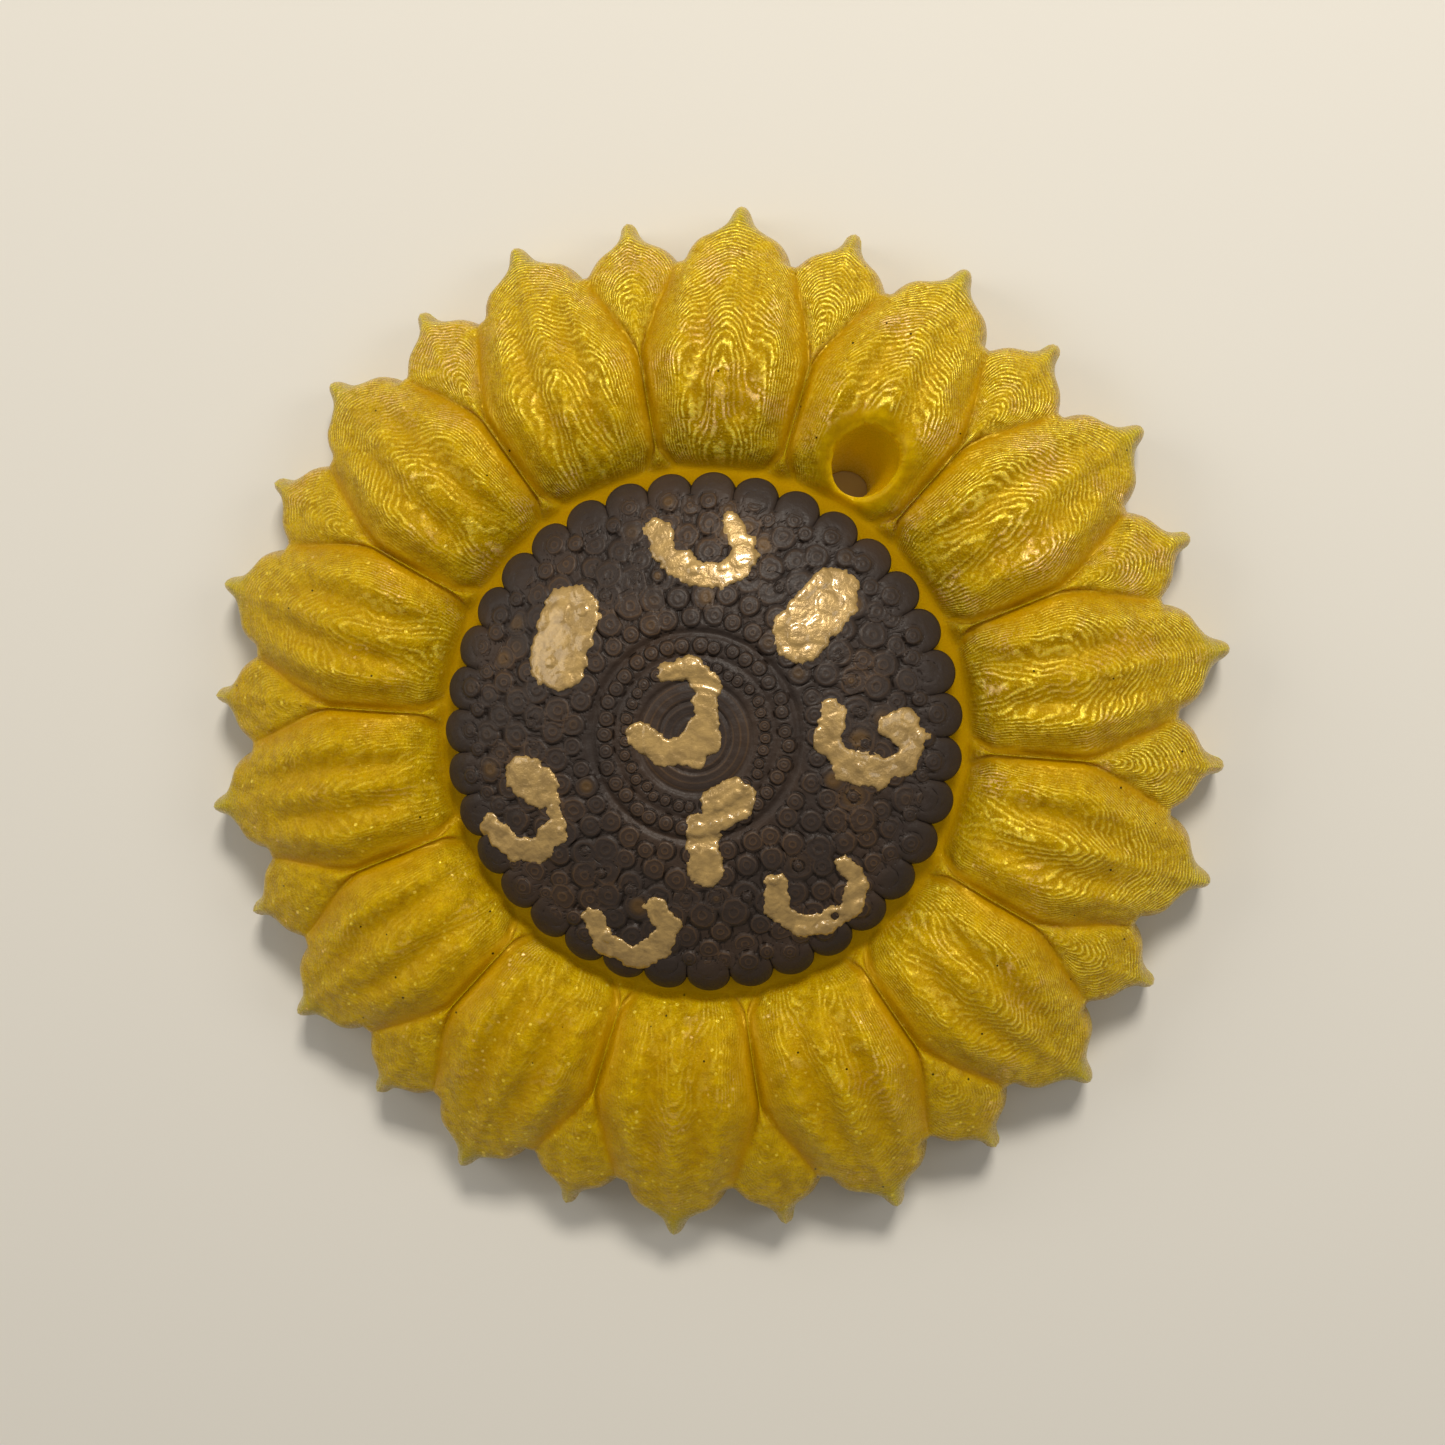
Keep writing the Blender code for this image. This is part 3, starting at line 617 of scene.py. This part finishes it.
# Material: satin brown craft paint brushed over the pads' fine rings, thin on the rings' crests.
paint, tree, shader = new_material("dark brown satin craft paint")
where = add(tree, "TexCoord").outputs["Object"]
in_mm = add(tree, "VectorMath", {0: where, "Scale": 1000.0}, operation="SCALE").outputs[0]
out_pad = add(tree, "Attribute", attribute_name="pad_share").outputs["Fac"]
edge_near = add(tree, "Attribute", attribute_name="pad_edge").outputs["Fac"]
own_draw = add(tree, "Attribute", attribute_name="pad_draw").outputs["Fac"]
blotch = add(tree, "TexNoise", {"Vector": in_mm, "Scale": 0.13, "Detail": 2.0}).outputs["Fac"]
ripple = add(tree, "TexNoise", {"Vector": in_mm, "Scale": 1.2, "Detail": 2.0}).outputs["Fac"]
tooth = add(tree, "TexNoise", {"Vector": in_mm, "Scale": 7.0, "Detail": 2.0}).outputs["Fac"]
turns = add(tree, "Math", {0: ripple, 1: 5.0, 2: 1.5}, operation="MULTIPLY_ADD").outputs[0]
turns = add(tree, "Math", {0: out_pad, 1: 14.0, 2: turns}, operation="MULTIPLY_ADD").outputs[0]
ring_wave = add(tree, "Math", {0: turns}, operation="SINE").outputs[0]
on_pad = add(tree, "MapRange", {"Value": out_pad, "From Min": 1.0, "From Max": 0.95}).outputs[0]
ring_wave = add(tree, "Math", {0: ring_wave, 1: on_pad}, operation="MULTIPLY").outputs[0]

# Fine rings round the middle, about 0.6 mm apart.
flat_mm = add(tree, "VectorMath", {0: in_mm, 1: (1.0, 1.0, 0.0)}, operation="MULTIPLY").outputs[0]
from_middle = add(tree, "VectorMath", {0: flat_mm}, operation="LENGTH").outputs["Value"]
middle_wave = add(tree, "Math", {0: from_middle, 1: 2 * math.pi / 0.62}, operation="MULTIPLY").outputs[0]
middle_wave = add(tree, "Math", {0: middle_wave}, operation="SINE").outputs[0]
in_middle = add(tree, "MapRange", {"Value": from_middle, "From Min": 5.1, "From Max": 4.8}).outputs[0]
ring_wave = add(tree, "Math", {0: middle_wave, 1: in_middle, 2: ring_wave}, operation="MULTIPLY_ADD").outputs[0]
ring_crest = add(tree, "MapRange", {"Value": ring_wave, "From Min": 0.55, "From Max": 0.95}).outputs[0]
# Painted shade: the narrow grooves round the pads are painted near black. The same mask also deepens them in the bump.
pad_groove_and_shade = add(tree, "MapRange", {"Value": edge_near, "From Min": 0.13, "From Max": 0.02}, interpolation_type="SMOOTHSTEP").outputs[0]
thin_patch = add(tree, "MapRange", {"Value": blotch, "From Min": 0.45, "From Max": 0.6}).outputs[0]
bare_pad = add(tree, "MapRange", {
    "Value": own_draw, "From Min": 0.78, "From Max": 1.0, "To Max": 0.5}).outputs[0]
pad_top = add(tree, "MapRange", {"Value": out_pad, "From Min": 0.65, "From Max": 0.3}).outputs[0]
bare_pad = add(tree, "Math", {0: bare_pad, 1: pad_top}, operation="MULTIPLY").outputs[0]
thin = add(tree, "MapRange", {"Value": thin_patch, "To Min": 0.15, "To Max": 0.5}).outputs[0]
thin = add(tree, "Math", {0: thin, 1: ring_crest}, operation="MULTIPLY").outputs[0]
coat_tone = add(tree, "Mix", {0: thin_patch, 6: linear("#302722"), 7: linear("#382B22")}, data_type="RGBA").outputs[2]
brown = add(tree, "Mix", {0: thin, 6: coat_tone, 7: linear("#574028")}, data_type="RGBA").outputs[2]
brown = add(tree, "Mix", {0: bare_pad, 6: brown, 7: linear("#664A20")}, data_type="RGBA").outputs[2]
brown = add(tree, "Mix", {0: pad_groove_and_shade, 6: brown, 7: linear("#221A15")}, data_type="RGBA").outputs[2]
tree.links.new(brown, shader.inputs["Base Color"])
satin = add(tree, "MapRange", {"Value": tooth, "From Min": 0.3, "From Max": 0.7, "To Min": 0.42, "To Max": 0.56}).outputs[0]
tree.links.new(satin, shader.inputs["Roughness"])
shader.inputs["Specular IOR Level"].default_value = 0.22
relief = add(tree, "Math", {0: ring_wave, 1: 0.018}, operation="MULTIPLY").outputs[0]
relief = add(tree, "Math", {0: ripple, 1: 0.1, 2: relief}, operation="MULTIPLY_ADD").outputs[0]
relief = add(tree, "Math", {0: tooth, 1: 0.02, 2: relief}, operation="MULTIPLY_ADD").outputs[0]
relief = add(tree, "Math", {0: pad_groove_and_shade, 1: -0.06, 2: relief}, operation="MULTIPLY_ADD").outputs[0]
bump = add(tree, "Bump", {"Height": relief, "Strength": 0.9, "Distance": 1 * MM})
tree.links.new(bump.outputs[0], shader.inputs["Normal"])
mesh.materials.append(paint)
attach(seeds, "root")
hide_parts("seed_disc")

# Gold spots.
# Nine leopard spots dabbed on the disc with a brush in thick gold craft paint, which puddles between
# the pads and ends in a ragged raised edge.

# Each stroke: half its width, then the places that the brush went through.
STROKES = (
    (1.15, ((-3.45, 17.5), (-2.55, 15.28), (-0.28, 13.81), (2.16, 13.55), (3.9, 14.5), (4.1, 16.2))),
    (0.95, ((4.1, 16.2), (2.75, 18.2))),
    (2.65, ((-10.7, 10.2), (-11.8, 6.4))),
    (2.35, ((11.5, 11.9), (8.8, 8.6))),
    (0.95, ((-2.24, 5.45), (-0.15, 5.78))),
    (1.15, ((-0.15, 5.78), (1.03, 4.29), (0.85, 1.54), (-0.07, -0.71), (-2.42, -1.39), (-4.6, 0.1))),
    (1.6, ((0.6, -0.2), (-0.3, -1.1))),
    (1.1, ((11.55, 2.04), (10.98, -0.29), (12.82, -2.4))),
    (1.45, ((12.82, -2.4), (15.25, -3.0))),
    (1.0, ((15.25, -3.0), (17.71, -2.26), (18.64, -0.08), (17.69, 1.4), (16.16, 0.9))),
    (1.4, ((17.9, 0.2), (17.2, 0.9))),
    (1.9, ((-14.7, -3.6), (-13.5, -4.4))),
    (0.7, ((-13.3, -4.2), (-12.3, -5.6), (-12.2, -6.6))),
    (1.15, ((-12.0, -8.05), (-13.66, -9.91), (-16.02, -10.1), (-18.1, -8.1))),
    (1.9, ((3.3, -5.3), (2.3, -5.9))),
    (1.45, ((0.7, -7.7), (0.71, -10.42), (0.93, -11.4))),
    (1.05, ((6.72, -12.61), (7.02, -14.98), (8.86, -16.35), (11.0, -16.07), (12.88, -15.23), (13.8, -12.87))),
    (0.85, ((13.8, -12.87), (12.52, -10.9))),
    (1.1, ((-9.03, -15.97), (-8.31, -18.06), (-5.82, -19.5), (-3.41, -18.47), (-2.5, -16.31), (-3.4, -14.9))),
)
BARE_DOT = (11.75, -15.5, 0.32)
FILM_CELL = 0.14
FILM_THICKNESS, FILM_EDGE, FILM_SUNK = 0.26, 0.42, 0.5
PUDDLE_REACH = 0.5
EDGE_RAGGED, EDGE_FRAYED = 0.38, 0.2


def to_strokes(at):
    """Distance in mm outside the painted edge, negative inside it, at each x and y."""
    outside = np.full(len(at), 50.0)
    for half_width, path in STROKES:
        for start, end in zip(np.array(path[:-1]), np.array(path[1:])):
            along = np.clip((at - start) @ (end - start) / ((end - start) @ (end - start)), 0, 1)
            gap = np.linalg.norm(at - start - along[:, None] * (end - start), axis=1)
            outside = np.minimum(outside, gap - half_width)
    flat = np.column_stack([at, 0 * at[:, 0]])
    outside += EDGE_RAGGED * rough(flat, 1.3, 2) + EDGE_FRAYED * rough(flat + 30, 0.4, 2)
    bare = BARE_DOT[2] - np.linalg.norm(at - np.array(BARE_DOT[:2]), axis=1)
    return np.maximum(outside, bare)


def disc_top(at):
    """Height of the disc's face at each x and y in mm."""
    return disc_face(np.hypot(at[:, 0], at[:, 1]), (np.arctan2(at[:, 0], at[:, 1]) - DISC_TURN) % (2 * math.pi))[0]


reach = max(max(abs(x), abs(y)) for _, path in STROKES for x, y in path) + 3.5
cells = round(2 * reach / FILM_CELL)
film = bmesh.new()
bmesh.ops.create_grid(film, x_segments=cells, y_segments=cells, size=reach)
near = np.array([vertex.co[:2] for vertex in film.verts])
rough_gap = np.full(len(near), 9.0)
for half_width, path in STROKES:
    for start, end in zip(np.array(path[:-1]), np.array(path[1:])):
        along = np.clip((near - start) @ (end - start) / ((end - start) @ (end - start)), 0, 1)
        rough_gap = np.minimum(rough_gap, np.linalg.norm(near - start - along[:, None] * (end - start), axis=1) - half_width)
bmesh.ops.delete(film, geom=[v for v, gap in zip(film.verts, rough_gap) if gap > 1.0], context="VERTS")
near = np.array([vertex.co[:2] for vertex in film.verts])
gap = to_strokes(near)
for vertex, value in zip(film.verts, gap):
    vertex.tag = bool(value < 0.4 * FILM_CELL)
bmesh.ops.delete(film, geom=[v for v in film.verts if not v.tag], context="VERTS")
bmesh.ops.delete(film, geom=[v for v in film.verts if not v.link_faces], context="VERTS")
rim_corners = [v for v in film.verts if v.is_boundary]
at = np.array([vertex.co[:2] for vertex in rim_corners])
nudge = 0.05
slope = np.column_stack([to_strokes(at + (nudge, 0)) - to_strokes(at - (nudge, 0)), to_strokes(at + (0, nudge)) - to_strokes(at - (0, nudge))]) / (2 * nudge)
push = to_strokes(at)[:, None] * slope / np.maximum((slope**2).sum(axis=1), 0.5)[:, None]
push *= np.minimum(1, 0.45 * FILM_CELL / np.maximum(np.linalg.norm(push, axis=1), 1e-6))[:, None]
for vertex, (x, y), (right, ahead) in zip(rim_corners, at, push):
    vertex.co.x, vertex.co.y = x - right, y - ahead
at = np.array([vertex.co[:2] for vertex in film.verts])
inside = np.clip(-to_strokes(at), 0, FILM_EDGE) / FILM_EDGE
ground = disc_top(at)
around = [disc_top(at + PUDDLE_REACH * np.array((math.cos(i), math.sin(i)))) for i in np.arange(8) * math.pi / 4]
puddle = (ground + sum(around)) / 9
film_top = np.maximum(ground + 0.6 * FILM_THICKNESS, puddle + 0.6 * FILM_THICKNESS)
film_top = ground - 0.06 + (film_top - ground + 0.06) * np.sqrt(1 - (1 - inside) ** 2)
for vertex, level in zip(film.verts, film_top):
    vertex.co.z = level
under = bmesh.ops.extrude_face_region(film, geom=film.faces[:] + film.edges[:] + film.verts[:])["geom"]
for vertex in (item for item in under if isinstance(item, bmesh.types.BMVert)):
    vertex.co.z -= FILM_SUNK
bmesh.ops.scale(film, vec=(MM, MM, MM), verts=film.verts)
bmesh.ops.recalc_face_normals(film, faces=film.faces)
mesh = bpy.data.meshes.new("gold_spots")
film.to_mesh(mesh)
film.free()
mesh.shade_smooth()
mesh.set_sharp_from_angle(angle=math.radians(70))
spots = bpy.data.objects.new("gold_spots", mesh)
bpy.context.scene.collection.objects.link(spots)

# Material: gold craft paint, an acrylic full of fine mica. It dries glossy, and its flakes lie every way.
gilt, tree, shader = new_material("glossy gold craft paint")
where = add(tree, "TexCoord").outputs["Object"]
in_mm = add(tree, "VectorMath", {0: where, "Scale": 1000.0}, operation="SCALE").outputs[0]
swirl = add(tree, "TexNoise", {"Vector": in_mm, "Scale": 0.9, "Detail": 3.0, "Distortion": 0.6}).outputs["Fac"]
dimple = add(tree, "TexNoise", {"Vector": in_mm, "Scale": 2.2, "Detail": 2.0}).outputs["Fac"]
glitter = add(tree, "TexNoise", {"Vector": in_mm, "Scale": 9.0, "Detail": 2.0}).outputs["Fac"]
tone = add(tree, "MapRange", {"Value": swirl, "From Min": 0.35, "From Max": 0.65}).outputs[0]
gold_tone = add(tree, "Mix", {0: tone, 6: linear("#927644"), 7: linear("#B09055")}, data_type="RGBA").outputs[2]
tree.links.new(gold_tone, shader.inputs["Base Color"])
shader.inputs["Metallic"].default_value = 0.25
shader.inputs["Roughness"].default_value = 0.36
shader.inputs["Specular IOR Level"].default_value = 0.4
shader.inputs["Coat Weight"].default_value = 0.6
shader.inputs["Coat Roughness"].default_value = 0.1
wavy = add(tree, "Math", {0: dimple, 1: 0.1}, operation="MULTIPLY").outputs[0]
wavy = add(tree, "Math", {0: glitter, 1: 0.02, 2: wavy}, operation="MULTIPLY_ADD").outputs[0]
bump = add(tree, "Bump", {"Height": wavy, "Strength": 0.9, "Distance": 1 * MM})
tree.links.new(bump.outputs[0], shader.inputs["Normal"])
mesh.materials.append(gilt)
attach(spots, "root")
